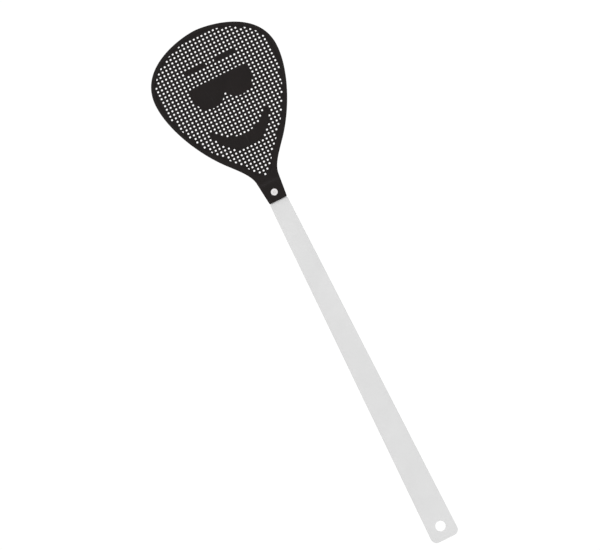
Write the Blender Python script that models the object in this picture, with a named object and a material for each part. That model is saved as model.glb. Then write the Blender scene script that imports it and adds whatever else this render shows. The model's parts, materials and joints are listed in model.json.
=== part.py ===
"""Fly swatter: a perforated paddle on a flexible neck, plugged onto a flat tapered handle.

Metres. +Z runs along the swatter with the paddle up, +X across it, and the front faces -Y.
The back of every piece lies in the plane y = 0. The origin is at the middle of the grip,
on the back of the handle.
"""
import math

import bmesh
import bpy
from mathutils import Vector
from mathutils.geometry import delaunay_2d_cdt, interpolate_bezier

MM = 0.001
GAP = 0.3 * MM                      # left between pieces that touch
ROUND_SIDES = 32                    # of every round hole and turned piece

# Lengths along the swatter
TOTAL_LENGTH = 480.0 * MM
HEAD_LENGTH = 160.3 * MM            # top of the paddle to the open end of the neck
GRIP_HEIGHT = 70.0 * MM             # origin above the free end of the handle
HANDLE_END = -GRIP_HEIGHT
NECK_END = HANDLE_END + TOTAL_LENGTH - HEAD_LENGTH
FLEX_LINE = NECK_END + 21.0 * MM    # the neck bends about this line

# Paddle
HEAD_HALF_WIDTH = 57.4 * MM
WIDEST = NECK_END + 118.0 * MM
NECK_HALF_WIDTH = 8.1 * MM          # at the open end of the neck
NECK_TAPER = 0.104                  # half-width gained per unit of height
RIM_THICKNESS = 2.2 * MM
RIM_WIDTH = 3.3 * MM
RIM_ROOT_WIDTH = 4.7 * MM           # the rim widens towards the neck
RIM_WIDTH_CHANGE = (NECK_END + 35.0 * MM, NECK_END + 80.0 * MM)
WEB_THICKNESS = 1.2 * MM
RECESS_START = NECK_END + 23.2 * MM  # lower end of the thin web
RECESS_END_LENGTH = 5.5 * MM        # of its rounded lower end
ROOT_STEPS = 6                      # around the half-round end at the flex line

# Perforation
HOLE_SIDE = 1.5 * MM
PITCH_X = 3.6 * MM
PITCH_Z = 3.3 * MM
FIRST_ROW = NECK_END + 24.9 * MM
HOLE_BORDER = 1.5 * MM              # hole centre to the edge of the thin web

# Unperforated zones that make a plain smiling face
LENS = (13.0 * MM, NECK_END + 108.0 * MM, 14.0 * MM)    # x, height, radius
GLASSES_TOP = NECK_END + 117.0 * MM                     # straight upper edge of both lenses
BROW_RADIUS = 23.0 * MM                                 # about each lens's middle
BROW_HALF_WIDTH = 1.8 * MM
BROW_ANGLES = (66.0, 114.0)                             # degrees
SMILE_TOP = (NECK_END + 95.0 * MM, 31.5 * MM)           # middle height and radius, upper edge
SMILE_BOTTOM = (NECK_END + 79.0 * MM, 27.0 * MM)        # the same, lower edge
ZONE_MARGIN = 0.9 * MM                                  # keeps whole holes clear of a zone

# Neck socket
SOCKET_THICKNESS = 4.4 * MM
SOCKET_WALL = 1.2 * MM
SOCKET_TOP = NECK_END + 19.5 * MM
RAMP_START = NECK_END + 14.0 * MM
POCKET_TOP = NECK_END + 13.2 * MM
POCKET_HALF_WIDTH = 6.3 * MM

# Handle
HANDLE_THICKNESS = 3.2 * MM
HANDLE_TOP_HALF_WIDTH = 8.2 * MM
HANDLE_END_HALF_WIDTH = 12.25 * MM
END_CORNER_RADIUS = 5.0 * MM
EDGE_BEVEL = 0.4 * MM
BEVEL_SEGMENTS = 2
HANGING_HOLE_RADIUS = 4.5 * MM
HANGING_HOLE_HEIGHT = HANDLE_END + 12.0 * MM
TONGUE_HALF_WIDTH = POCKET_HALF_WIDTH - GAP
TONGUE_FRONT = -2.9 * MM
TONGUE_BACK = -1.5 * MM
TONGUE_TOP = POCKET_TOP - 0.6 * MM
TONGUE_ROOT = 3.0 * MM              # depth of the tongue inside the handle's end

# Two-part snap rivet through socket and tongue
RIVET_HEIGHT = NECK_END + 7.75 * MM
RIVET_HEAD_RADIUS = 2.9 * MM
RIVET_HEAD_RISE = 0.9 * MM
RIVET_HEAD_EDGE = 0.45 * MM
RIVET_HOLE_RADIUS = 2.0 * MM
PIN_RADIUS = 0.8 * MM
PIN_TIP = -1.3 * MM
CAP_TUBE_RADIUS = 1.7 * MM
CAP_BORE_RADIUS = 1.1 * MM
CAP_BORE_FLOOR = -0.95 * MM
CAP_TUBE_FRONT = -4.0 * MM
CAP_FLANGE = 0.45 * MM
COUNTERBORE_RADIUS = 3.2 * MM
COUNTERBORE_DEPTH = 0.75 * MM

BLACK = (0.0185, 0.0150, 0.0142, 1.0)
GREY = (0.735, 0.735, 0.735, 1.0)


def clear_scene():
    for thing in list(bpy.data.objects):
        bpy.data.objects.remove(thing, do_unlink=True)


def material(name, colour, roughness):
    made = bpy.data.materials.new(name)
    made.use_nodes = True
    shader = made.node_tree.nodes["Principled BSDF"]
    shader.inputs["Base Color"].default_value = colour
    shader.inputs["Roughness"].default_value = roughness
    shader.inputs["Metallic"].default_value = 0.0
    made.diffuse_color = colour
    return made


def add_object(name, mesh, finish=None, parent=None):
    """Put a mesh in the scene, keeping world coordinates under its parent."""
    thing = bpy.data.objects.new(name, mesh)
    bpy.context.scene.collection.objects.link(thing)
    if finish:
        mesh.materials.append(finish)
    if parent:
        thing.parent = parent
        thing.location = -parent.location
    return thing


def add_cutter(name, mesh):
    cutter = add_object(name, mesh)
    cutter.hide_render = True
    cutter.display_type = "WIRE"
    return cutter


def add_boolean(thing, cutter, operation):
    boolean = thing.modifiers.new(cutter.name, "BOOLEAN")
    boolean.operation = operation
    boolean.solver = "EXACT"
    boolean.object = cutter


def finish_mesh(bm, name, smooth=False):
    bmesh.ops.recalc_face_normals(bm, faces=bm.faces)
    mesh = bpy.data.meshes.new(name)
    bm.to_mesh(mesh)
    bm.free()
    if smooth:
        mesh.shade_smooth()
        mesh.set_sharp_from_angle(angle=math.radians(35.0))
    return mesh


def ring(bm, loop, y):
    """Vertices of a closed (x, z) loop at depth y."""
    return [bm.verts.new((x, y, z)) for x, z in loop]


def wall(bm, ring_a, ring_b, closed=True):
    """Quads between two rings of equal count."""
    count = len(ring_a) if closed else len(ring_a) - 1
    for i in range(count):
        j = (i + 1) % len(ring_a)
        bm.faces.new((ring_a[i], ring_a[j], ring_b[j], ring_b[i]))


def cap(bm, rings):
    """Triangles between the first ring and the other rings, which stay open."""
    verts = [vert for one in rings for vert in one]
    owner = [number for number, one in enumerate(rings) for vert in one]
    loops = [[(vert.co.x, vert.co.z) for vert in one] for one in rings]
    edges = []
    for one in rings:
        start = len(edges)
        edges += [(start + i, start + (i + 1) % len(one)) for i in range(len(one))]
    flat = [Vector((vert.co.x, vert.co.z)) for vert in verts]
    result = delaunay_2d_cdt(flat, edges, [], 1, 1e-7)
    source = [ids[0] for ids in result[3]]
    for face in result[2]:
        corners = [source[i] for i in face]
        number = owner[corners[0]]
        if all(owner[i] == number for i in corners):
            x = sum(flat[i].x for i in corners) / 3
            z = sum(flat[i].y for i in corners) / 3
            if inside(loops[number], x, z) != (number == 0):
                continue
        bm.faces.new([verts[i] for i in corners])


def box_mesh(name, low, high):
    bm = bmesh.new()
    bmesh.ops.create_cube(bm, size=1.0)
    for vert in bm.verts:
        for axis in range(3):
            middle = (low[axis] + high[axis]) / 2
            vert.co[axis] = middle + vert.co[axis] * (high[axis] - low[axis])
    return finish_mesh(bm, name)


def turned_mesh(name, profile, height, smooth=True):
    """Spin a closed (radius, y) profile about the Y direction at the given height."""
    bm = bmesh.new()
    rings = []
    for radius, y in profile:
        if radius == 0.0:
            rings.append([bm.verts.new((0.0, y, height))])
            continue
        turns = [2 * math.pi * i / ROUND_SIDES for i in range(ROUND_SIDES)]
        rings.append([bm.verts.new((radius * math.cos(a), y, height + radius * math.sin(a)))
                      for a in turns])
    for one, two in zip(rings, rings[1:]):
        for i in range(ROUND_SIDES):
            j = (i + 1) % ROUND_SIDES
            corners = [one[i % len(one)], one[j % len(one)], two[j % len(two)], two[i % len(two)]]
            bm.faces.new(list(dict.fromkeys(corners)))
    return finish_mesh(bm, name, smooth)


def neck_half_width(z):
    return NECK_HALF_WIDTH + NECK_TAPER * (z - NECK_END)


def bezier(start, start_handle, end_handle, end, steps):
    points = [Vector((x, z, 0.0)) for x, z in (start, start_handle, end_handle, end)]
    return [(p.x, p.y) for p in interpolate_bezier(*points, steps + 1)]


def head_side():
    """Right side of the paddle's outline, from the flex line up to the top."""
    def at(x, height):
        return (x * MM, NECK_END + height * MM)
    root = (neck_half_width(FLEX_LINE), FLEX_LINE)
    flare = bezier(root, at(11.5, 28.8), at(18.1, 35.9), at(26.4, 45.5), 8)
    flank = bezier(at(26.4, 45.5), at(43.0, 64.7), at(57.4, 95.3), (HEAD_HALF_WIDTH, WIDEST), 10)
    crown = bezier((HEAD_HALF_WIDTH, WIDEST), at(57.4, 153.4), at(12.0, 160.3),
                   (0.0, NECK_END + HEAD_LENGTH), 14)
    return flare + flank[1:] + crown[1:]


def mirrored(side):
    """Closed loop from a right side that ends on the axis."""
    return side + [(-x, z) for x, z in reversed(side[:-1])]


def smooth_step(value, low, high):
    t = min(max((value - low) / (high - low), 0.0), 1.0)
    return t * t * (3 - 2 * t)


def recess_side(side):
    """The outline's right side moved inwards by the rim's width, with a rounded lower end."""
    inner = []
    for i in range(len(side)):
        x, z = side[i]
        before = Vector(side[max(i - 1, 0)])
        after = Vector(side[i + 1]) if i + 1 < len(side) else Vector((-side[i - 1][0], side[i - 1][1]))
        along = (after - before).normalized()
        grown = smooth_step(z, *RIM_WIDTH_CHANGE)
        width = RIM_ROOT_WIDTH + (RIM_WIDTH - RIM_ROOT_WIDTH) * grown
        inner.append((x - along.y * width, z + along.x * width))
    kept = [point for point in inner if point[1] > RECESS_START + RECESS_END_LENGTH]
    kept[-1] = (0.0, kept[-1][1])
    x, z = kept[0]
    low_end = bezier((0.0, RECESS_START), (0.3 * x, RECESS_START),
                     (0.77 * x, RECESS_START + 0.4 * (z - RECESS_START)), (x, z), 4)
    return low_end[1:-1] + kept


def distance_to(loop, x, z):
    """Shortest distance from a point to a closed loop."""
    point = Vector((x, z))
    best = math.inf
    for i in range(len(loop)):
        a = Vector(loop[i - 1])
        b = Vector(loop[i])
        t = (point - a).dot(b - a) / (b - a).length_squared
        nearest = a + (b - a) * min(max(t, 0.0), 1.0)
        best = min(best, (point - nearest).length)
    return best


def inside(loop, x, z):
    crossings = 0
    for i in range(len(loop)):
        (ax, az), (bx, bz) = loop[i - 1], loop[i]
        if (az > z) != (bz > z) and x < ax + (z - az) * (bx - ax) / (bz - az):
            crossings += 1
    return crossings % 2 == 1


def in_face_zone(x, z, margin):
    """True on the glasses, a brow or the smile."""
    side_x = abs(x)
    lens_x, lens_z, lens_radius = LENS
    from_lens = math.hypot(side_x - lens_x, z - lens_z)
    between_lenses = side_x < lens_x and z > lens_z
    if z < GLASSES_TOP + margin and (from_lens < lens_radius + margin or between_lenses):
        return True
    turn = math.degrees(math.atan2(z - lens_z, side_x - lens_x))
    if BROW_ANGLES[0] < turn < BROW_ANGLES[1]:
        if abs(from_lens - BROW_RADIUS) < BROW_HALF_WIDTH + margin:
            return True
    from_top = math.hypot(x, z - SMILE_TOP[0])
    from_bottom = math.hypot(x, z - SMILE_BOTTOM[0])
    below_both = z < SMILE_BOTTOM[0] + margin
    return below_both and from_top > SMILE_TOP[1] - margin and from_bottom < SMILE_BOTTOM[1] + margin


def hole_centres(web_edge):
    """Grid points well inside the web's edge and off the face."""
    centres = []
    columns = int(HEAD_HALF_WIDTH / PITCH_X)
    rows = int(HEAD_LENGTH / PITCH_Z)
    for row in range(rows):
        z = FIRST_ROW + row * PITCH_Z
        for column in range(-columns, columns + 1):
            x = column * PITCH_X
            if not inside(web_edge, x, z) or distance_to(web_edge, x, z) < HOLE_BORDER:
                continue
            if not in_face_zone(x, z, ZONE_MARGIN):
                centres.append((x, z))
    return centres


def flap_mesh():
    """Thin perforated web inside a thicker rim, ending in a half-round edge at the flex line."""
    side = head_side()
    outline = mirrored(side)
    recess = mirrored(recess_side(side))
    half = HOLE_SIDE / 2
    holes = [[(x + half, z - half), (x + half, z + half), (x - half, z + half), (x - half, z - half)]
             for x, z in hole_centres(recess)]
    bm = bmesh.new()
    back = ring(bm, outline, 0.0)
    rim_outer = ring(bm, outline, -RIM_THICKNESS)
    rim_inner = ring(bm, recess, -RIM_THICKNESS)
    web_edge = ring(bm, recess, -WEB_THICKNESS)
    back_holes = [ring(bm, hole, 0.0) for hole in holes]
    front_holes = [ring(bm, hole, -WEB_THICKNESS) for hole in holes]
    cap(bm, [back] + back_holes)
    cap(bm, [web_edge] + front_holes)
    cap(bm, [rim_outer, rim_inner])
    wall(bm, back, rim_outer, closed=False)
    wall(bm, rim_inner, web_edge)
    for front_hole, back_hole in zip(front_holes, back_holes):
        wall(bm, front_hole, back_hole)
    # Half-round root, centred on the flex axis
    radius = RIM_THICKNESS / 2
    arcs = []
    for end in (0, -1):
        arc = [back[end]]
        for step in range(1, ROOT_STEPS):
            turn = math.pi * step / ROOT_STEPS
            x = outline[end][0]
            arc.append(bm.verts.new((x, -radius + radius * math.cos(turn),
                                     FLEX_LINE - radius * math.sin(turn))))
        arc.append(rim_outer[end])
        bm.faces.new(arc)
        arcs.append(arc)
    wall(bm, arcs[0], arcs[1], closed=False)
    return finish_mesh(bm, "flap")


def socket_mesh():
    """Tapered sleeve that ramps down to the flap's thickness at its top."""
    bm = bmesh.new()
    levels = [(NECK_END, SOCKET_THICKNESS), (RAMP_START, SOCKET_THICKNESS), (SOCKET_TOP, RIM_THICKNESS)]
    rings = []
    for z, thickness in levels:
        half = neck_half_width(z)
        corners = [(half, 0.0), (half, -thickness), (-half, -thickness), (-half, 0.0)]
        rings.append([bm.verts.new((x, y, z)) for x, y in corners])
    for lower, upper in zip(rings, rings[1:]):
        wall(bm, lower, upper)
    bm.faces.new(rings[0])
    bm.faces.new(rings[-1])
    return finish_mesh(bm, "neck_socket")


def handle_outline():
    """Free end with two round corners, then straight tapering sides up to the shoulders."""
    top = NECK_END - GAP
    corner_steps = 6
    centre_x = HANDLE_END_HALF_WIDTH - END_CORNER_RADIUS
    centre_z = HANDLE_END + END_CORNER_RADIUS
    right = []
    for step in range(corner_steps + 1):
        turn = math.radians(-90.0 + 90.0 * step / corner_steps)
        right.append((centre_x + END_CORNER_RADIUS * math.cos(turn),
                      centre_z + END_CORNER_RADIUS * math.sin(turn)))
    right.append((HANDLE_TOP_HALF_WIDTH, top))
    return right + [(-x, z) for x, z in reversed(right)]


def handle_mesh():
    bm = bmesh.new()
    outline = handle_outline()
    turns = [2 * math.pi * i / ROUND_SIDES for i in range(ROUND_SIDES)]
    hole = [(HANGING_HOLE_RADIUS * math.cos(turn),
             HANGING_HOLE_HEIGHT + HANGING_HOLE_RADIUS * math.sin(turn)) for turn in turns]
    front = [ring(bm, loop, -HANDLE_THICKNESS) for loop in (outline, hole)]
    back = [ring(bm, loop, 0.0) for loop in (outline, hole)]
    cap(bm, front)
    cap(bm, back)
    for front_ring, back_ring in zip(front, back):
        wall(bm, front_ring, back_ring)
    return finish_mesh(bm, "handle", smooth=True)


def rivet_pin_mesh():
    """Low domed head in front of the socket, with a plain pin behind it."""
    seat = -SOCKET_THICKNESS - GAP
    dome_steps = 6
    profile = [(0.0, PIN_TIP), (PIN_RADIUS * 0.7, PIN_TIP), (PIN_RADIUS, PIN_TIP - 0.25 * MM),
               (PIN_RADIUS, seat), (RIVET_HEAD_RADIUS, seat), (RIVET_HEAD_RADIUS, seat - RIVET_HEAD_EDGE)]
    for step in range(1, dome_steps + 1):
        turn = math.pi / 2 * step / dome_steps
        radius = RIVET_HEAD_RADIUS * math.cos(turn) if step < dome_steps else 0.0
        rise = (RIVET_HEAD_RISE - RIVET_HEAD_EDGE) * math.sin(turn)
        profile.append((radius, seat - RIVET_HEAD_EDGE - rise))
    return turned_mesh("snap_rivet_pin", profile, RIVET_HEIGHT)


def rivet_cap_mesh():
    """Flange that lies in the socket's counterbore, with an open tube for the pin."""
    profile = [(0.0, 0.0), (RIVET_HEAD_RADIUS, 0.0), (RIVET_HEAD_RADIUS, -CAP_FLANGE),
               (CAP_TUBE_RADIUS, -CAP_FLANGE), (CAP_TUBE_RADIUS, CAP_TUBE_FRONT),
               (CAP_BORE_RADIUS, CAP_TUBE_FRONT), (CAP_BORE_RADIUS, CAP_BORE_FLOOR), (0.0, CAP_BORE_FLOOR)]
    return turned_mesh("snap_rivet_cap", profile, RIVET_HEIGHT)


def build():
    clear_scene()
    black_plastic = material("black_plastic", BLACK, 0.45)
    web_plastic = material("black_web_plastic", BLACK, 0.5)
    handle_plastic = material("light_grey_plastic", GREY, 0.4)
    rivet_plastic = material("rivet_plastic", GREY, 0.35)
    cap_plastic = material("rivet_cap_plastic", GREY, 0.35)

    swatter = bpy.data.objects.new("fly_swatter", None)
    bpy.context.scene.collection.objects.link(swatter)
    flex_axis = bpy.data.objects.new("neck_flex", None)
    bpy.context.scene.collection.objects.link(flex_axis)
    flex_axis.parent = swatter
    flex_axis.location = (0.0, -RIM_THICKNESS / 2, FLEX_LINE)

    add_object("flap", flap_mesh(), web_plastic, flex_axis)
    socket = add_object("neck_socket", socket_mesh(), black_plastic, swatter)
    handle = add_object("handle", handle_mesh(), handle_plastic, swatter)
    add_object("snap_rivet_pin", rivet_pin_mesh(), rivet_plastic, swatter)
    add_object("snap_rivet_cap", rivet_cap_mesh(), cap_plastic, swatter)

    past = 1.0 * MM
    pocket = add_cutter("pocket_cutter", box_mesh(
        "pocket_cutter",
        (-POCKET_HALF_WIDTH, -SOCKET_THICKNESS + SOCKET_WALL, NECK_END - past),
        (POCKET_HALF_WIDTH, -SOCKET_WALL, POCKET_TOP)))
    tongue = add_cutter("tongue_shape", box_mesh(
        "tongue_shape",
        (-TONGUE_HALF_WIDTH, TONGUE_FRONT, NECK_END - TONGUE_ROOT),
        (TONGUE_HALF_WIDTH, TONGUE_BACK, TONGUE_TOP)))
    rivet_hole = add_cutter("rivet_hole_cutter", turned_mesh(
        "rivet_hole_cutter",
        [(0.0, past), (RIVET_HOLE_RADIUS, past), (RIVET_HOLE_RADIUS, -SOCKET_THICKNESS - past),
         (0.0, -SOCKET_THICKNESS - past)], RIVET_HEIGHT, smooth=False))
    counterbore = add_cutter("counterbore_cutter", turned_mesh(
        "counterbore_cutter",
        [(0.0, past), (COUNTERBORE_RADIUS, past), (COUNTERBORE_RADIUS, -COUNTERBORE_DEPTH),
         (0.0, -COUNTERBORE_DEPTH)], RIVET_HEIGHT, smooth=False))

    for thing in (handle, socket):
        bevel = thing.modifiers.new("edges", "BEVEL")
        bevel.width = EDGE_BEVEL
        bevel.segments = BEVEL_SEGMENTS
        bevel.limit_method = "ANGLE"
        bevel.angle_limit = math.radians(60.0)
    add_boolean(socket, pocket, "DIFFERENCE")
    add_boolean(socket, rivet_hole, "DIFFERENCE")
    add_boolean(socket, counterbore, "DIFFERENCE")
    add_boolean(handle, tongue, "UNION")
    add_boolean(handle, rivet_hole, "DIFFERENCE")


build()
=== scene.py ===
"""Looks of the fly swatter: moulded head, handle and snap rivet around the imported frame.

Metres. +Z runs along the swatter with the paddle up, +X across it, the front faces -Y, and
every back lies in the plane y = 0. A depth below is a distance from that plane to the front.
"""
import json
import math

import bmesh
import bpy
import numpy as np
from mathutils import Matrix, Vector
from mathutils.geometry import delaunay_2d_cdt, interpolate_bezier


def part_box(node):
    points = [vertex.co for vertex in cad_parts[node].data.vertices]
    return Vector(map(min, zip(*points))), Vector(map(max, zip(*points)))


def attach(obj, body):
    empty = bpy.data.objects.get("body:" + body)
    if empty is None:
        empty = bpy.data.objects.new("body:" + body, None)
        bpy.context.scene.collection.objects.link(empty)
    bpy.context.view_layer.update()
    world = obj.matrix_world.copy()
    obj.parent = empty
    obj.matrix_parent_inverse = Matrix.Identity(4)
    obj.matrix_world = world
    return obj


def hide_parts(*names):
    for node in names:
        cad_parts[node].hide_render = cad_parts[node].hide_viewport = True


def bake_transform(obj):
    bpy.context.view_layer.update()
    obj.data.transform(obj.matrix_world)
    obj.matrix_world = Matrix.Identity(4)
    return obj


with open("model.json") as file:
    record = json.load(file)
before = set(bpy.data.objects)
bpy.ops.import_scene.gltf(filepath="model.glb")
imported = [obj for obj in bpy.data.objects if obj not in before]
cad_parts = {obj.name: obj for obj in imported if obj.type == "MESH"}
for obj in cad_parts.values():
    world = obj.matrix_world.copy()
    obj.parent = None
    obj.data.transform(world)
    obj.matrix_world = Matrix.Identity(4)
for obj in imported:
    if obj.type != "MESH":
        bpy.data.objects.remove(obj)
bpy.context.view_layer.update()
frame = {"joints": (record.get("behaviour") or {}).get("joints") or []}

MM = 0.001

# Sizes that the frame gives
FLAP_LOW, FLAP_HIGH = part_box("flap")
SOCKET_LOW, SOCKET_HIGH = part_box("neck_socket")
HANDLE_LOW, HANDLE_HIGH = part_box("handle")
PIN_LOW, PIN_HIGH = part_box("snap_rivet_pin")
CAP_LOW, CAP_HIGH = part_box("snap_rivet_cap")
FLEX_LINE = frame["joints"][0]["pos_m"][2]
NECK_END = SOCKET_LOW.z
SOCKET_TOP = SOCKET_HIGH.z
SOCKET_THICKNESS = -SOCKET_LOW.y
HEAD_TOP = FLAP_HIGH.z
HEAD_HALF_WIDTH = FLAP_HIGH.x
RIM_THICKNESS = -FLAP_LOW.y
HANDLE_END = HANDLE_LOW.z
HANDLE_END_HALF_WIDTH = HANDLE_HIGH.x
HANDLE_THICKNESS = -HANDLE_LOW.y
TONGUE_TOP = HANDLE_HIGH.z
RIVET_HEIGHT = (PIN_LOW.z + PIN_HIGH.z) / 2
RIVET_RADIUS = PIN_HIGH.x
RIVET_FRONT = -PIN_LOW.y

# Head
WIDEST = NECK_END + 118.0 * MM
NECK_HALF_WIDTH = 8.1 * MM
NECK_TAPER = 0.104
NECK_CORNER = 0.8 * MM
RAMP_START = NECK_END + 14.0 * MM
RIM_WIDTH = 3.3 * MM
RIM_ROOT_WIDTH = 4.7 * MM
WEB_THICKNESS = 1.2 * MM
RIM_WIDTH_CHANGE = (NECK_END + 35.0 * MM, NECK_END + 80.0 * MM)
RECESS_START = NECK_END + 23.2 * MM
RECESS_END_LENGTH = 5.5 * MM
BACK_FILLET = 0.5 * MM
FRONT_FILLET = 0.75 * MM
RECESS_FILLET = 0.32 * MM
PARTING_RISE = 0.05 * MM            # of the fine line where the mould halves met
PARTING_HALF = 0.14 * MM
NECK_ROW_MARGIN = 1.6 * MM          # rows of points on the flats of the neck
NECK_ROW_SPACING = 0.9 * MM
NECK_ROW_POINTS = 11

# Perforation
HOLE_SIDE = 1.5 * MM
HOLE_CORNER = 0.42 * MM
HOLE_CHAMFER = 0.09 * MM
PITCH_X = 3.6 * MM
PITCH_Z = 3.3 * MM
FIRST_ROW = NECK_END + 24.9 * MM
HOLE_CLEARANCE = 0.25 * MM          # from a hole's edge to the rim's foot or a raised zone
LEAST_HOLE = 0.4                    # share of a whole hole below which a cut one is left out

# Raised face zones
LENS = (13.0 * MM, NECK_END + 108.0 * MM, 14.0 * MM)    # x, height, radius
GLASSES_TOP = NECK_END + 117.0 * MM                     # straight upper edge of both lenses
GLASSES_CORNER = 2.0 * MM
GLASSES_NOTCH = 1.2 * MM
BROW_RADIUS = 23.0 * MM                                 # about each lens's middle
BROW_HALF_WIDTH = 1.8 * MM
BROW_ANGLES = (66.0, 114.0)                             # degrees
SMILE_TOP = (NECK_END + 95.0 * MM, 31.5 * MM)           # middle height and radius, upper edge
SMILE_BOTTOM = (NECK_END + 79.0 * MM, 27.0 * MM)        # the same, lower edge
SMILE_TIP_RADIUS = 0.9 * MM
PAD_INSET = 0.3 * MM
PAD_RISE = 0.3 * MM

# Neck socket and rivet holes
POCKET_HALF_WIDTH = 6.3 * MM
POCKET_BACK = 1.2 * MM
POCKET_FRONT = 3.2 * MM
POCKET_TOP = NECK_END + 13.2 * MM
RIVET_HOLE_RADIUS = 2.0 * MM
COUNTERBORE_RADIUS = 3.2 * MM
COUNTERBORE_DEPTH = 0.75 * MM

# Handle
HANDLE_TOP = NECK_END - 0.3 * MM
HANDLE_TOP_HALF_WIDTH = 8.2 * MM
END_CORNER_RADIUS = 5.0 * MM
TOP_CORNER_RADIUS = 1.0 * MM
HANDLE_FILLET = 0.75 * MM
HANGING_HOLE_RADIUS = 4.5 * MM
HANGING_HOLE_HEIGHT = HANDLE_END + 12.0 * MM
HANGING_HOLE_FILLET = 0.45 * MM
TONGUE_HALF_WIDTH = 6.0 * MM
TONGUE_BACK = 1.5 * MM
TONGUE_FRONT = 2.9 * MM

# Round marks that ejector pins leave on the back
EJECTOR_RADIUS = 2.4 * MM
EJECTOR_DEPTH = 0.07 * MM
EJECTOR_EDGE = 0.05 * MM

# Snap rivet
HEAD_DISH_RADIUS = 1.24 * MM        # ring-shaped recess round a small nub
HEAD_DISH_DEPTH = 0.48 * MM
CAP_TUBE_RADIUS = 1.7 * MM
CAP_BORE_RADIUS = 1.1 * MM
CAP_BORE_FLOOR = 0.95 * MM
CAP_FLANGE = 0.5 * MM

PAST = 1.0 * MM                     # how far a cutter reaches past what it cuts

# Surface of the moulded plastic
CLOUD_SIZE = 22.0 * MM
HANDLED_SIZE = 14.0 * MM
FLOW_SIZE = 3.0 * MM
SCRATCH_SIZE = 0.7 * MM
FLOW_STRETCH = (1.0, 1.0, 0.06)     # both run along Z
SCRATCH_STRETCH = (1.0, 1.0, 0.035)
ROUGHNESS_SPREAD = 0.08
FLOW_HEIGHT = 0.03 * MM
GRAIN_HEIGHT = 0.07 * MM

# Camera
CAMERA_TILT = math.radians(26.45)
CAMERA_AIM = (-11.8 * MM, 185.0 * MM)   # x and z of what the view is centred on
CAMERA_DISTANCE = 2.4
FRAME_WIDTH = 0.5074                    # seen at the object's distance
SENSOR = 36.0

# Studio
WORLD_SEEN = 1.03                   # a little past white, so the background is pure white
WORLD_LIGHT = 0.665
LAMP_AIM = Vector((0.0, 0.0, 0.17))
LAMP_SIZE = 1.0
SKY_ENERGY = 2.0
SKY_ANGLE = math.radians(50.0)
FLOOR_RADIUS = 8.4
FLOOR_DROP = 2.6                    # below the free end of the handle


def smooth_step(value, low, high):
    t = min(max((value - low) / (high - low), 0.0), 1.0)
    return t * t * (3 - 2 * t)


def arc(centre, radius, start, end, steps):
    """Points on a circle in the (x, z) plane, from start to end in degrees."""
    turns = [math.radians(start + (end - start) * i / steps) for i in range(steps + 1)]
    return [(centre[0] + radius * math.cos(a), centre[1] + radius * math.sin(a)) for a in turns]


def circle(centre, radius, sides):
    return arc(centre, radius, 0.0, 360.0, sides)[:-1]


def bezier(start, start_handle, end_handle, end, steps):
    points = [Vector((x, z, 0.0)) for x, z in (start, start_handle, end_handle, end)]
    return [(p.x, p.y) for p in interpolate_bezier(*points, steps + 1)]


def mirrored(side):
    """Closed loop, counter-clockwise from the front, from a right side that ends on the axis."""
    return side + [(-x, z) for x, z in reversed(side[:-1])]


def offset(loop, distance):
    """A counter-clockwise loop moved inwards by distance, corners mitred."""
    points = np.array(loop)
    along = np.roll(points, -1, axis=0) - points
    along /= np.linalg.norm(along, axis=1)[:, None]
    after = np.stack([-along[:, 1], along[:, 0]], axis=1)
    before = np.roll(after, 1, axis=0)
    both = before + after
    mitre = both / (1 + (before * after).sum(axis=1))[:, None]
    return [tuple(p) for p in points + mitre * distance]


def nearest(loop, x, z):
    """The closest point of a closed loop, and its distance."""
    a = np.array(loop)
    b = np.roll(a, -1, axis=0)
    edge = b - a
    point = np.array((x, z))
    t = np.clip(((point - a) * edge).sum(axis=1) / (edge * edge).sum(axis=1), 0.0, 1.0)
    places = a + edge * t[:, None]
    distances = np.linalg.norm(places - point, axis=1)
    closest = distances.argmin()
    return places[closest], float(distances[closest])


def inside(loop, x, z):
    crossings = 0
    for i in range(len(loop)):
        (ax, az), (bx, bz) = loop[i - 1], loop[i]
        if (az > z) != (bz > z) and x < ax + (z - az) * (bx - ax) / (bz - az):
            crossings += 1
    return crossings % 2 == 1


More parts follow.
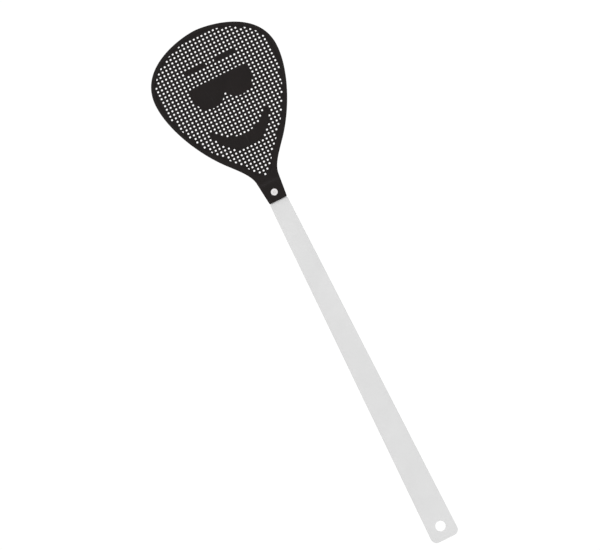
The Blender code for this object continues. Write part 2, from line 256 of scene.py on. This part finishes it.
class Shell:
    """Collects the points and faces of one closed moulding."""

    def __init__(self):
        self.points = []
        self.faces = []

    def ring(self, loop, depth):
        """Adds a loop of (x, z) points. depth is a number, or a function of z."""
        start = len(self.points)
        for x, z in loop:
            y = -depth(z) if callable(depth) else -depth
            self.points.append((x, y, z))
        return list(range(start, len(self.points)))

    def wall(self, ring_a, ring_b):
        count = len(ring_a)
        for i in range(count):
            j = (i + 1) % count
            self.faces.append((ring_a[i], ring_a[j], ring_b[j], ring_b[i]))

    def stack(self, loops_and_depths):
        """Walls from ring to ring. Returns the first and the last ring."""
        rings = [self.ring(loop, depth) for loop, depth in loops_and_depths]
        for one, two in zip(rings, rings[1:]):
            self.wall(one, two)
        return rings[0], rings[-1]

    def cap(self, rings, loose=()):
        """Triangles between the first ring and the others, which stay open."""
        indices = [i for ring in rings for i in ring] + list(loose)
        owner = [number for number, ring in enumerate(rings) for i in ring] + [-1] * len(loose)
        flat = [Vector((self.points[i][0], self.points[i][2])) for i in indices]
        edges = []
        for ring in rings:
            start = len(edges)
            edges += [(start + i, start + (i + 1) % len(ring)) for i in range(len(ring))]
        result = delaunay_2d_cdt(flat, edges, [], 1, 1e-8)
        if len(result[0]) != len(flat):
            raise ValueError("loops of a cap cross or touch")
        source = [ids[0] for ids in result[3]]
        for face in result[2]:
            corners = [source[i] for i in face]
            number = owner[corners[0]]
            if number >= 0 and all(owner[i] == number for i in corners):
                loop = [(self.points[i][0], self.points[i][2]) for i in rings[number]]
                x = sum(flat[i].x for i in corners) / 3
                z = sum(flat[i].y for i in corners) / 3
                if inside(loop, x, z) != (number == 0):
                    continue
            self.faces.append(tuple(indices[i] for i in corners))

    def ejector_marks(self, centres, surface_depth=0.0):
        """Shallow round marks. Returns the rings that the cap around them leaves open."""
        rings = []
        for centre in centres:
            edge, floor = self.stack([
                (circle(centre, EJECTOR_RADIUS, 40), surface_depth),
                (circle(centre, EJECTOR_RADIUS - EJECTOR_EDGE, 40), surface_depth + EJECTOR_DEPTH)])
            self.cap([floor])
            rings.append(edge)
        return rings

    def mesh(self, name):
        made = bpy.data.meshes.new(name)
        made.from_pydata(self.points, [], self.faces)
        bm = bmesh.new()
        bm.from_mesh(made)
        bmesh.ops.recalc_face_normals(bm, faces=bm.faces)
        bm.to_mesh(made)
        bm.free()
        return made


def add_object(name, mesh):
    thing = bpy.data.objects.new(name, mesh)
    bpy.context.scene.collection.objects.link(thing)
    return thing


def apply_modifiers(thing):
    graph = bpy.context.evaluated_depsgraph_get()
    thing.data = bpy.data.meshes.new_from_object(thing.evaluated_get(graph))
    thing.data.name = thing.name
    thing.modifiers.clear()


def combine(thing, steps):
    """Applies Booleans in turn. steps are (mesh, operation), and the meshes are used up."""
    cutters = []
    for number, (mesh, operation) in enumerate(steps):
        cutter = add_object(f"{thing.name}_tool_{number}", mesh)
        boolean = thing.modifiers.new(cutter.name, "BOOLEAN")
        boolean.operation = operation
        boolean.solver = "EXACT"
        boolean.object = cutter
        cutters.append(cutter)
    apply_modifiers(thing)
    for cutter in cutters:
        bpy.data.objects.remove(cutter, do_unlink=True)


def shade(thing, finish, angle=32.0):
    """One material, smooth faces with sharp edges kept, and flats that stay flat beside fillets."""
    thing.data.materials.clear()
    thing.data.materials.append(finish)
    thing.data.shade_smooth()
    thing.data.set_sharp_from_angle(angle=math.radians(angle))
    weighted = thing.modifiers.new("weighted_normals", "WEIGHTED_NORMAL")
    weighted.keep_sharp = True
    weighted.weight = 80


def box_mesh(name, low, high, rounding=0.0):
    bm = bmesh.new()
    bmesh.ops.create_cube(bm, size=1.0)
    for vert in bm.verts:
        for axis in range(3):
            middle = (low[axis] + high[axis]) / 2
            vert.co[axis] = middle + vert.co[axis] * (high[axis] - low[axis])
    if rounding:
        bmesh.ops.bevel(bm, geom=bm.edges, offset=rounding, segments=3, profile=0.5, affect="EDGES")
    made = bpy.data.meshes.new(name)
    bm.to_mesh(made)
    bm.free()
    return made


def turned_mesh(name, profile, sides=72):
    """Spins a (radius, depth) profile, from axis to axis, about the rivet's axis."""
    bm = bmesh.new()
    rings = []
    for radius, depth in profile:
        if radius == 0.0:
            rings.append([bm.verts.new((0.0, -depth, RIVET_HEIGHT))])
        else:
            round_points = circle((0.0, RIVET_HEIGHT), radius, sides)
            rings.append([bm.verts.new((x, -depth, z)) for x, z in round_points])
    for one, two in zip(rings, rings[1:]):
        for i in range(sides):
            j = (i + 1) % sides
            corners = [one[i % len(one)], one[j % len(one)], two[j % len(two)], two[i % len(two)]]
            bm.faces.new(list(dict.fromkeys(corners)))
    bmesh.ops.recalc_face_normals(bm, faces=bm.faces)
    made = bpy.data.meshes.new(name)
    bm.to_mesh(made)
    bm.free()
    return made


# ---------------------------------------------------------------- head

def neck_half_width(z):
    return NECK_HALF_WIDTH + NECK_TAPER * (z - NECK_END)


def front_depth(z):
    """Rim thickness on the paddle, rising over the ramp to the socket's thickness."""
    fall = smooth_step(z, RAMP_START, SOCKET_TOP + 0.8 * MM)
    return SOCKET_THICKNESS + (RIM_THICKNESS - SOCKET_THICKNESS) * fall


def head_side():
    """Right side of the head's outline, from the open end of the neck up to the top."""
    def at(x, height):
        return (x * MM, NECK_END + height * MM)
    low_corner = (NECK_HALF_WIDTH - NECK_CORNER, NECK_END + NECK_CORNER)
    corner = arc(low_corner, NECK_CORNER, -90.0, 0.0, 6)
    neck = [(neck_half_width(z), z)
            for z in np.linspace(NECK_END + NECK_CORNER, FLEX_LINE, 20)[1:]]
    flare = bezier(neck[-1], at(11.5, 28.8), at(18.1, 35.9), at(26.4, 45.5), 26)
    flank = bezier(at(26.4, 45.5), at(43.0, 64.7), at(57.4, 95.3), (HEAD_HALF_WIDTH, WIDEST), 36)
    crown = bezier((HEAD_HALF_WIDTH, WIDEST), at(57.4, 153.4), at(12.0, 160.3), (0.0, HEAD_TOP), 56)
    return corner + neck + flare[1:] + flank[1:] + crown[1:]


def recess_loop(side):
    """Edge of the thin web: the outline moved in by the rim's width, with a rounded lower end."""
    width = [RIM_ROOT_WIDTH + (RIM_WIDTH - RIM_ROOT_WIDTH) * smooth_step(z, *RIM_WIDTH_CHANGE)
             for x, z in side]
    one = np.array(offset(mirrored(side), 1.0 * MM))[:len(side)]
    inward = (one - np.array(side)) / MM
    inner = [(x + inward[i][0] * width[i], z + inward[i][1] * width[i]) for i, (x, z) in enumerate(side)]
    kept = [point for point in inner if point[1] > RECESS_START + RECESS_END_LENGTH]
    kept[-1] = (0.0, kept[-1][1])
    x, z = kept[0]
    low_end = bezier((0.0, RECESS_START), (0.3 * x, RECESS_START),
                     (0.77 * x, RECESS_START + 0.4 * (z - RECESS_START)), (x, z), 16)
    return mirrored(low_end[1:-1] + kept)


def rounded_square(centre):
    """Outline of a whole hole, counter-clockwise."""
    reach = HOLE_SIDE / 2 - HOLE_CORNER
    loop = []
    for number, (sx, sz) in enumerate(((1, 1), (-1, 1), (-1, -1), (1, -1))):
        corner = (centre[0] + sx * reach, centre[1] + sz * reach)
        loop += arc(corner, HOLE_CORNER, 90.0 * number, 90.0 * number + 90.0, 3)
    return loop


def area(loop):
    points = np.array(loop)
    after = np.roll(points, -1, axis=0)
    return float((points[:, 0] * after[:, 1] - points[:, 1] * after[:, 0]).sum()) / 2


def cut_off(loop, place, normal):
    """The part of a convex loop on the side of a line that normal points to."""
    kept = []
    for i in range(len(loop)):
        a, b = np.array(loop[i - 1]), np.array(loop[i])
        side_a, side_b = (a - place) @ normal, (b - place) @ normal
        if side_a * side_b < 0:
            kept.append(tuple(a + (b - a) * side_a / (side_a - side_b)))
        if side_b >= 0:
            kept.append(tuple(b))
    spaced = [p for i, p in enumerate(kept) if math.dist(p, kept[i - 1]) > 0.04 * MM]
    return spaced if len(spaced) > 3 else []


def hole_loops(web_edge, pads):
    """Every hole of the grid, cut back where it meets the rim's foot or a raised zone."""
    whole = area(rounded_square((0.0, 0.0)))
    half_diagonal = HOLE_SIDE / math.sqrt(2)
    columns = int(HEAD_HALF_WIDTH / PITCH_X)
    rows = int((HEAD_TOP - NECK_END) / PITCH_Z)
    loops = []
    for row in range(rows):
        for column in range(-columns, columns + 1):
            centre = (column * PITCH_X, FIRST_ROW + row * PITCH_Z)
            loop = rounded_square(centre)
            for edge, allowed_inside in [(web_edge, True)] + [(pad, False) for pad in pads]:
                near, distance = nearest(edge, *centre)
                allowed = inside(edge, *centre) == allowed_inside
                if not allowed and distance > half_diagonal:
                    loop = []
                    break
                if distance < half_diagonal + HOLE_CLEARANCE:
                    away = (np.array(centre) - near) / distance * (1 if allowed else -1)
                    loop = cut_off(loop, near + away * HOLE_CLEARANCE, away)
                if not loop:
                    break
            if loop and area(loop) > LEAST_HOLE * whole:
                loops.append(loop)
    return loops


def glasses_loop():
    """Two round lenses that meet, under one straight top, with rounded corners."""
    lens_x, lens_z, radius = LENS
    radius -= PAD_INSET
    top = GLASSES_TOP - PAD_INSET
    notch_z = lens_z - math.sqrt((radius + GLASSES_NOTCH) ** 2 - lens_x ** 2)
    notch_turn = math.degrees(math.atan2(lens_z - notch_z, lens_x))
    corner_z = top - GLASSES_CORNER
    corner_x = lens_x + math.sqrt((radius - GLASSES_CORNER) ** 2 - (corner_z - lens_z) ** 2)
    corner_turn = math.degrees(math.atan2(corner_z - lens_z, corner_x - lens_x))
    right = (arc((0.0, notch_z), GLASSES_NOTCH, 90.0, notch_turn, 6)
             + arc((lens_x, lens_z), radius, notch_turn + 180.0, corner_turn + 360.0, 72)[1:]
             + arc((corner_x, corner_z), GLASSES_CORNER, corner_turn, 90.0, 6)[1:])
    return right + [(-x, z) for x, z in reversed(right[1:])]


def brow_loop(side):
    """A short arc with round ends above one lens. side is 1 or -1."""
    lens_x, lens_z, _ = LENS
    half = BROW_HALF_WIDTH - PAD_INSET
    end_turn = math.degrees(half / BROW_RADIUS) + 1.0
    low, high = BROW_ANGLES[0] + end_turn, BROW_ANGLES[1] - end_turn
    centre = (side * lens_x, lens_z)
    ends = [arc(centre, BROW_RADIUS, turn, turn, 1)[0] for turn in (low, high)]
    return (arc(centre, BROW_RADIUS + half, low, high, 20)
            + arc(ends[1], half, high, high + 180.0, 8)[1:]
            + arc(centre, BROW_RADIUS - half, high, low, 20)[1:]
            + arc(ends[0], half, low - 180.0, low, 8)[1:-1])


def smile_loop():
    """A crescent between two circles, with round tips."""
    tip = SMILE_TIP_RADIUS
    top_z, top_radius = SMILE_TOP
    bottom_z, bottom_radius = SMILE_BOTTOM
    top_radius += PAD_INSET
    bottom_radius -= PAD_INSET
    to_top = top_radius + tip
    to_bottom = bottom_radius - tip
    rise = top_z - bottom_z
    tip_z = bottom_z + (rise ** 2 + to_bottom ** 2 - to_top ** 2) / (2 * rise)
    tip_x = math.sqrt(to_bottom ** 2 - (tip_z - bottom_z) ** 2)
    low_turn = math.degrees(math.atan2(tip_z - bottom_z, tip_x))
    top_turn = math.degrees(math.atan2(tip_z - top_z, tip_x))
    right_tip = arc((tip_x, tip_z), tip, low_turn, top_turn + 180.0, 8)
    upper = arc((0.0, top_z), top_radius, top_turn, -90.0, 32)[1:]
    lower = arc((0.0, bottom_z), bottom_radius, -90.0, low_turn, 36)[1:-1]
    left = [(-x, z) for x, z in reversed(right_tip + upper[:-1])]
    left_lower = [(-x, z) for x, z in reversed(lower)]
    return right_tip + upper + left + left_lower + [(0.0, bottom_z - bottom_radius)] + lower


def fillet_steps(radius, steps=4):
    """(inset, depth) pairs round a quarter circle, from the flat to the side."""
    turns = [math.pi / 2 * i / steps for i in range(steps + 1)]
    return [(radius * (1 - math.sin(a)), radius * (1 - math.cos(a))) for a in turns]


def edge_stack(loop, thickness, back_fillet, front_fillet):
    """Loops and depths from the back flat, round the side with its parting line, to the front."""
    rows = [(offset(loop, inset), depth) for inset, depth in fillet_steps(back_fillet)]
    for step in (-1, 0, 1):
        rise = PARTING_RISE if step == 0 else 0.0
        rows.append((offset(loop, -rise), lambda z, step=step: thickness(z) / 2 + step * PARTING_HALF))
    for inset, depth in reversed(fillet_steps(front_fillet)):
        rows.append((offset(loop, inset), lambda z, depth=depth: thickness(z) - depth))
    return rows


def neck_rows(shell, surface):
    """Loose points on a flat of the neck, which let it follow the ramp."""
    points = []
    for z in np.arange(NECK_END + NECK_ROW_MARGIN, RECESS_START - 0.6 * MM, NECK_ROW_SPACING):
        reach = neck_half_width(z) - NECK_ROW_MARGIN
        xs = np.linspace(-reach, reach, NECK_ROW_POINTS)
        points += shell.ring([(x, z) for x in xs], surface)
    return points


def head_mesh():
    """Rim, thin web with its holes and raised zones, and the neck, as one closed shell."""
    side = head_side()
    outline = mirrored(side)
    recess = recess_loop(side)
    shell = Shell()
    back_edge, rim_outer = shell.stack(edge_stack(outline, front_depth, BACK_FILLET, FRONT_FILLET))

    # Step from the rim down to the web: round shoulder, wall, round foot
    drop = [(offset(recess, -inset), RIM_THICKNESS - depth)
            for inset, depth in fillet_steps(RECESS_FILLET)]
    foot = [(offset(recess, inset), WEB_THICKNESS + depth)
            for inset, depth in reversed(fillet_steps(RECESS_FILLET))]
    rim_inner, web_edge = shell.stack(drop + foot)

    front_rows = neck_rows(shell, front_depth)
    back_rows = neck_rows(shell, 0.0)
    shell.cap([rim_outer, rim_inner], front_rows)

    pad_loops = [glasses_loop(), brow_loop(1), brow_loop(-1), smile_loop()]
    front_holes = []
    back_holes = []
    for loop in hole_loops(offset(recess, RECESS_FILLET), pad_loops):
        wide = offset(loop, -HOLE_CHAMFER)
        front, back = shell.stack([(wide, WEB_THICKNESS), (loop, WEB_THICKNESS - HOLE_CHAMFER),
                                   (loop, HOLE_CHAMFER), (wide, 0.0)])
        front_holes.append(front)
        back_holes.append(back)

    pads = []
    for loop in pad_loops:
        base, top = shell.stack([
            (loop, WEB_THICKNESS), (offset(loop, 0.05 * MM), WEB_THICKNESS + 0.6 * PAD_RISE),
            (offset(loop, 0.14 * MM), WEB_THICKNESS + 0.9 * PAD_RISE),
            (offset(loop, 0.3 * MM), WEB_THICKNESS + PAD_RISE)])
        shell.cap([top])
        pads.append(base)
    shell.cap([web_edge] + front_holes + pads)

    smile_middle = (SMILE_TOP[0] - SMILE_TOP[1] + SMILE_BOTTOM[0] - SMILE_BOTTOM[1]) / 2
    marks = shell.ejector_marks([(LENS[0], LENS[1]), (-LENS[0], LENS[1]), (0.0, smile_middle)])
    shell.cap([back_edge] + back_holes + marks, back_rows)
    return shell.mesh("paddle_and_neck")


def make_head(finish):
    head = add_object("paddle_and_neck", head_mesh())
    pocket = box_mesh("pocket", (-POCKET_HALF_WIDTH, -POCKET_FRONT, NECK_END - PAST),
                      (POCKET_HALF_WIDTH, -POCKET_BACK, POCKET_TOP), 0.3 * MM)
    chamfer = 0.2 * MM
    front = SOCKET_THICKNESS
    rivet_hole = turned_mesh("rivet_hole", [
        (0.0, -PAST), (COUNTERBORE_RADIUS + chamfer + PAST, -PAST), (COUNTERBORE_RADIUS, chamfer),
        (COUNTERBORE_RADIUS, COUNTERBORE_DEPTH), (RIVET_HOLE_RADIUS, COUNTERBORE_DEPTH),
        (RIVET_HOLE_RADIUS, front - chamfer), (RIVET_HOLE_RADIUS + chamfer + PAST, front + PAST),
        (0.0, front + PAST)])
    combine(head, [(pocket, "DIFFERENCE"), (rivet_hole, "DIFFERENCE")])
    shade(head, finish)
    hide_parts("flap", "neck_socket")
    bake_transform(head)


# ---------------------------------------------------------------- handle

def handle_outline():
    low_centre = (HANDLE_END_HALF_WIDTH - END_CORNER_RADIUS, HANDLE_END + END_CORNER_RADIUS)
    top_centre = (HANDLE_TOP_HALF_WIDTH - TOP_CORNER_RADIUS, HANDLE_TOP - TOP_CORNER_RADIUS)
    low = arc(low_centre, END_CORNER_RADIUS, -90.0, 0.0, 14)
    top = arc(top_centre, TOP_CORNER_RADIUS, 0.0, 90.0, 5)
    steps = 30
    (ax, az), (bx, bz) = low[-1], top[0]
    side = [(ax + (bx - ax) * i / steps, az + (bz - az) * i / steps) for i in range(1, steps)]
    right = low + side + top
    return right + [(-x, z) for x, z in reversed(right)]


def handle_mesh():
    shell = Shell()
    back_edge, front_edge = shell.stack(
        edge_stack(handle_outline(), lambda z: HANDLE_THICKNESS, HANDLE_FILLET, HANDLE_FILLET))
    centre = (0.0, HANGING_HOLE_HEIGHT)
    steps = fillet_steps(HANGING_HOLE_FILLET)
    rows = [(circle(centre, HANGING_HOLE_RADIUS + inset, 64), depth) for inset, depth in steps]
    rows += [(circle(centre, HANGING_HOLE_RADIUS + inset, 64), HANDLE_THICKNESS - depth)
             for inset, depth in reversed(steps)]
    hole_back, hole_front = shell.stack(rows)
    heights = np.linspace(HANDLE_END + 40.0 * MM, HANDLE_TOP - 25.0 * MM, 5)
    marks = shell.ejector_marks([(0.0, z) for z in heights])
    shell.cap([front_edge, hole_front])
    shell.cap([back_edge, hole_back] + marks)
    return shell.mesh("handle_strip")


def make_handle(finish):
    handle = add_object("handle_strip", handle_mesh())
    tongue = box_mesh("tongue", (-TONGUE_HALF_WIDTH, -TONGUE_FRONT, HANDLE_TOP - 3.0 * MM),
                      (TONGUE_HALF_WIDTH, -TONGUE_BACK, TONGUE_TOP), 0.25 * MM)
    rivet_hole = turned_mesh("rivet_hole", [
        (0.0, TONGUE_BACK - PAST), (RIVET_HOLE_RADIUS, TONGUE_BACK - PAST),
        (RIVET_HOLE_RADIUS, TONGUE_FRONT + PAST), (0.0, TONGUE_FRONT + PAST)])
    combine(handle, [(tongue, "UNION"), (rivet_hole, "DIFFERENCE")])
    shade(handle, finish)
    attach(handle, "handle")
    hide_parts("handle")


# ---------------------------------------------------------------- rivet

def make_rivet_head(finish):
    """Low dome with a ring-shaped recess round a small nub, and a plain pin behind it."""
    seat = SOCKET_THICKNESS + 0.04 * MM
    pin_radius = PIN_HIGH.x * 0.26
    pin_tip = -PIN_HIGH.y
    rim = 0.22 * MM
    edge = seat + 0.4 * MM
    profile = [(0.0, pin_tip), (pin_radius * 0.6, pin_tip), (pin_radius, pin_tip + 0.3 * MM),
               (pin_radius, seat - 0.2 * MM), (pin_radius + 0.2 * MM, seat),
               (RIVET_RADIUS - 0.1 * MM, seat), (RIVET_RADIUS, seat + 0.1 * MM), (RIVET_RADIUS, edge)]
    edge_steps = 4
    for step in range(1, edge_steps + 1):
        turn = math.pi / 2 * step / edge_steps
        profile.append((RIVET_RADIUS - rim + rim * math.cos(turn), edge + rim * math.sin(turn) * 0.8))
    start_radius, start_depth = profile[-1]
    dome_steps = 8
    dome_end = HEAD_DISH_RADIUS + 0.11 * MM
    for step in range(1, dome_steps + 1):
        radius = start_radius + (dome_end - start_radius) * step / dome_steps
        crown = 1 - (radius / start_radius) ** 2
        profile.append((radius, start_depth + (RIVET_FRONT - start_depth) * crown))
    top = profile[-1][1]
    dish = HEAD_DISH_RADIUS
    floor = top - HEAD_DISH_DEPTH
    profile += [(dish + 0.05 * MM, top - 0.02 * MM), (dish, top - 0.09 * MM),
                (dish - 0.04 * MM, floor + 0.1 * MM), (dish - 0.12 * MM, floor + 0.02 * MM),
                (dish - 0.26 * MM, floor), (0.72 * MM, floor + 0.01 * MM), (0.6 * MM, floor + 0.06 * MM),
                (0.5 * MM, floor + 0.18 * MM), (0.38 * MM, floor + 0.23 * MM), (0.0, floor + 0.25 * MM)]
    rivet = add_object("rivet_head", turned_mesh("rivet_head", profile, 96))
    shade(rivet, finish, 40.0)
    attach(rivet, "handle")
    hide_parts("snap_rivet_pin")


def make_rivet_cap(finish):
    """Flat flange that fills the counterbore, with an open tube for the pin."""
    radius = CAP_HIGH.x
    tube = CAP_TUBE_RADIUS
    bore = CAP_BORE_RADIUS
    front = -CAP_LOW.y
    profile = [(0.0, 0.16 * MM), (0.4 * MM, 0.14 * MM), (0.7 * MM, 0.05 * MM), (0.9 * MM, 0.0),
               (radius - 0.2 * MM, 0.0), (radius - 0.06 * MM, 0.06 * MM), (radius, 0.2 * MM),
               (radius, CAP_FLANGE - 0.08 * MM), (radius - 0.08 * MM, CAP_FLANGE),
               (tube + 0.2 * MM, CAP_FLANGE), (tube, CAP_FLANGE + 0.2 * MM), (tube, front - 0.2 * MM),
               (tube - 0.15 * MM, front), (bore + 0.15 * MM, front), (bore, front - 0.15 * MM),
               (bore, CAP_BORE_FLOOR), (0.0, CAP_BORE_FLOOR)]
    cap = add_object("rivet_cap", turned_mesh("rivet_cap", profile, 96))
    shade(cap, finish, 40.0)
    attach(cap, "handle")
    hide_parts("snap_rivet_cap")


# ---------------------------------------------------------------- materials

class Nodes:
    """Short calls for the node tree of one moulded plastic."""

    def __init__(self, name):
        self.material = bpy.data.materials.new(name)
        self.material.use_nodes = True
        self.tree = self.material.node_tree
        self.shader = self.tree.nodes["Principled BSDF"]
        self.position = self.add("ShaderNodeTexCoord").outputs["Object"]

    def add(self, kind, **settings):
        node = self.tree.nodes.new(kind)
        for key, value in settings.items():
            setattr(node, key, value)
        return node

    def link(self, source, target):
        self.tree.links.new(source, target)

    def stretched(self, scale):
        mapping = self.add("ShaderNodeMapping")
        mapping.inputs["Scale"].default_value = scale
        self.link(self.position, mapping.inputs["Vector"])
        return mapping.outputs["Vector"]

    def noise(self, size, detail=3.0, roughness=0.5, stretch=(1.0, 1.0, 1.0)):
        """Noise whose blotches are about size metres wide."""
        node = self.add("ShaderNodeTexNoise")
        node.inputs["Scale"].default_value = 1.0
        node.inputs["Detail"].default_value = detail
        node.inputs["Roughness"].default_value = roughness
        self.link(self.stretched([s / size for s in stretch]), node.inputs["Vector"])
        return node.outputs["Fac"]

    def ramp(self, source, low, high, low_value, high_value):
        node = self.add("ShaderNodeMapRange")
        node.inputs["From Min"].default_value = low
        node.inputs["From Max"].default_value = high
        node.inputs["To Min"].default_value = low_value
        node.inputs["To Max"].default_value = high_value
        self.link(source, node.inputs["Value"])
        return node.outputs["Result"]

    def math(self, operation, one, two):
        node = self.add("ShaderNodeMath", operation=operation)
        for socket, value in zip(node.inputs, (one, two)):
            if isinstance(value, (int, float)):
                socket.default_value = value
            else:
                self.link(value, socket)
        return node.outputs["Value"]

    def mix_colour(self, share, one, two):
        """one is a colour or a colour output, two is a colour."""
        factor, first, second = 0, 6, 7
        node = self.add("ShaderNodeMix", data_type="RGBA")
        if isinstance(one, tuple):
            node.inputs[first].default_value = one
        else:
            self.link(one, node.inputs[first])
        node.inputs[second].default_value = two
        self.link(share, node.inputs[factor])
        return node.outputs[2]

    def bump(self, height, distance, strength, previous=None):
        node = self.add("ShaderNodeBump")
        node.inputs["Distance"].default_value = distance
        node.inputs["Strength"].default_value = strength
        self.link(height, node.inputs["Height"])
        if previous:
            self.link(previous, node.inputs["Normal"])
        return node.outputs["Normal"]


def moulded_plastic(name, colour, shadow, dust, roughness, specular, grain, scuff):
    """Satin moulded plastic: pigment clouding, flow marks along Z, light scuffs, fine grain.

    grain is the size of the fine texture, and scuff is how strongly dust marks the scratches.
    """
    n = Nodes(name)
    clouds = n.noise(CLOUD_SIZE, 3.0)
    flow = n.noise(FLOW_SIZE, 2.0, 0.5, FLOW_STRETCH)
    fine = n.noise(grain, 2.0, 0.6)
    scratches = n.noise(SCRATCH_SIZE, 2.0, 0.7, SCRATCH_STRETCH)
    handled = n.noise(HANDLED_SIZE, 4.0, 0.6)

    clouding = n.ramp(clouds, 0.35, 0.65, 0.0, 1.0)
    tone = n.mix_colour(clouding, colour, shadow)
    wear = n.math("MULTIPLY", n.ramp(scratches, 0.6, 0.72, 0.0, 1.0),
                  n.ramp(handled, 0.45, 0.7, 0.0, scuff))
    tone = n.mix_colour(wear, tone, dust)
    n.link(tone, n.shader.inputs["Base Color"])

    uneven = n.ramp(handled, 0.3, 0.7, roughness - ROUGHNESS_SPREAD, roughness + ROUGHNESS_SPREAD)
    rough = n.math("ADD", uneven, n.ramp(flow, 0.3, 0.7, -0.03, 0.03))
    rough = n.math("ADD", rough, n.math("MULTIPLY", wear, 0.2))
    n.link(rough, n.shader.inputs["Roughness"])
    n.shader.inputs["Specular IOR Level"].default_value = specular
    n.shader.inputs["Metallic"].default_value = 0.0

    normal = n.bump(flow, FLOW_HEIGHT, 0.6)
    normal = n.bump(fine, GRAIN_HEIGHT, 1.0, normal)
    n.link(normal, n.shader.inputs["Normal"])
    return n.material


# ---------------------------------------------------------------- stage

def make_world():
    """White behind the object, softer light from every side."""
    world = bpy.data.worlds.new("studio")
    bpy.context.scene.world = world
    world.use_nodes = True
    tree = world.node_tree
    tree.nodes.clear()
    output = tree.nodes.new("ShaderNodeOutputWorld")
    mix = tree.nodes.new("ShaderNodeMixShader")
    path = tree.nodes.new("ShaderNodeLightPath")
    seen = tree.nodes.new("ShaderNodeBackground")
    light = tree.nodes.new("ShaderNodeBackground")
    seen.inputs["Color"].default_value = (1.0, 1.0, 1.0, 1.0)
    seen.inputs["Strength"].default_value = WORLD_SEEN
    light.inputs["Color"].default_value = (1.0, 1.0, 1.0, 1.0)
    light.inputs["Strength"].default_value = WORLD_LIGHT
    tree.links.new(path.outputs["Is Camera Ray"], mix.inputs["Fac"])
    tree.links.new(light.outputs["Background"], mix.inputs[1])
    tree.links.new(seen.outputs["Background"], mix.inputs[2])
    tree.links.new(mix.outputs["Shader"], output.inputs["Surface"])


def area_light(name, place, power):
    data = bpy.data.lights.new(name, "AREA")
    data.shape = "SQUARE"
    data.size = LAMP_SIZE
    data.energy = power
    lamp = bpy.data.objects.new(name, data)
    bpy.context.scene.collection.objects.link(lamp)
    lamp.location = place
    lamp.rotation_euler = (LAMP_AIM - Vector(place)).to_track_quat("-Z", "Y").to_euler()


def make_lights():
    area_light("front_left", (-1.3, -2.0, 0.9), 12.0)
    area_light("front_right", (1.4, -1.9, 0.8), 8.0)
    area_light("back_left", (-1.4, 1.9, 0.9), 8.0)
    area_light("back_right", (1.3, 2.0, 0.8), 12.0)
    sky = bpy.data.lights.new("overhead", "SUN")
    sky.energy = SKY_ENERGY
    sky.angle = SKY_ANGLE
    lamp = bpy.data.objects.new("overhead", sky)
    bpy.context.scene.collection.objects.link(lamp)


def make_floor():
    """Pale disc below the object, which also throws light back up."""
    bm = bmesh.new()
    bmesh.ops.create_circle(bm, cap_ends=True, segments=96, radius=FLOOR_RADIUS)
    mesh = bpy.data.meshes.new("floor")
    bm.to_mesh(mesh)
    bm.free()
    floor = add_object("floor", mesh)
    floor.location.z = HANDLE_END - FLOOR_DROP
    finish = bpy.data.materials.new("pale_floor")
    finish.use_nodes = True
    shader = finish.node_tree.nodes["Principled BSDF"]
    shader.inputs["Base Color"].default_value = (0.93, 0.93, 0.93, 1.0)
    shader.inputs["Roughness"].default_value = 0.9
    shader.inputs["Specular IOR Level"].default_value = 0.1
    mesh.materials.append(finish)


def make_camera():
    data = bpy.data.cameras.new("camera")
    data.sensor_width = SENSOR
    data.lens = SENSOR * CAMERA_DISTANCE / FRAME_WIDTH
    data.clip_end = 50.0
    camera = bpy.data.objects.new("camera", data)
    bpy.context.scene.collection.objects.link(camera)
    cos_tilt, sin_tilt = math.cos(CAMERA_TILT), math.sin(CAMERA_TILT)
    right = Vector((cos_tilt, 0.0, -sin_tilt))
    up = Vector((sin_tilt, 0.0, cos_tilt))
    back = Vector((0.0, -1.0, 0.0))
    turn = Matrix((right, up, back)).transposed().to_4x4()
    place = Matrix.Translation((CAMERA_AIM[0], -CAMERA_DISTANCE - RIM_THICKNESS, CAMERA_AIM[1]))
    camera.matrix_world = place @ turn
    bpy.context.scene.camera = camera


def main():
    make_camera()
    black = moulded_plastic(
        "black_plastic", colour=(0.0060, 0.0032, 0.0028, 1.0), shadow=(0.0044, 0.0023, 0.0020, 1.0),
        dust=(0.035, 0.034, 0.034, 1.0), roughness=0.48, specular=0.2, grain=0.32 * MM, scuff=0.5)
    grey = moulded_plastic(
        "light_grey_plastic", colour=(0.65, 0.65, 0.65, 1.0), shadow=(0.63, 0.63, 0.63, 1.0),
        dust=(0.58, 0.58, 0.57, 1.0), roughness=0.42, specular=0.4, grain=0.35 * MM, scuff=0.3)
    rivet = moulded_plastic(
        "rivet_plastic", colour=(0.70, 0.68, 0.68, 1.0), shadow=(0.68, 0.66, 0.66, 1.0),
        dust=(0.62, 0.62, 0.61, 1.0), roughness=0.36, specular=0.45, grain=0.25 * MM, scuff=0.2)
    make_head(black)
    make_handle(grey)
    make_rivet_head(rivet)
    make_rivet_cap(rivet)
    make_world()
    make_lights()
    make_floor()
    bpy.context.scene.view_settings.view_transform = "Standard"


main()
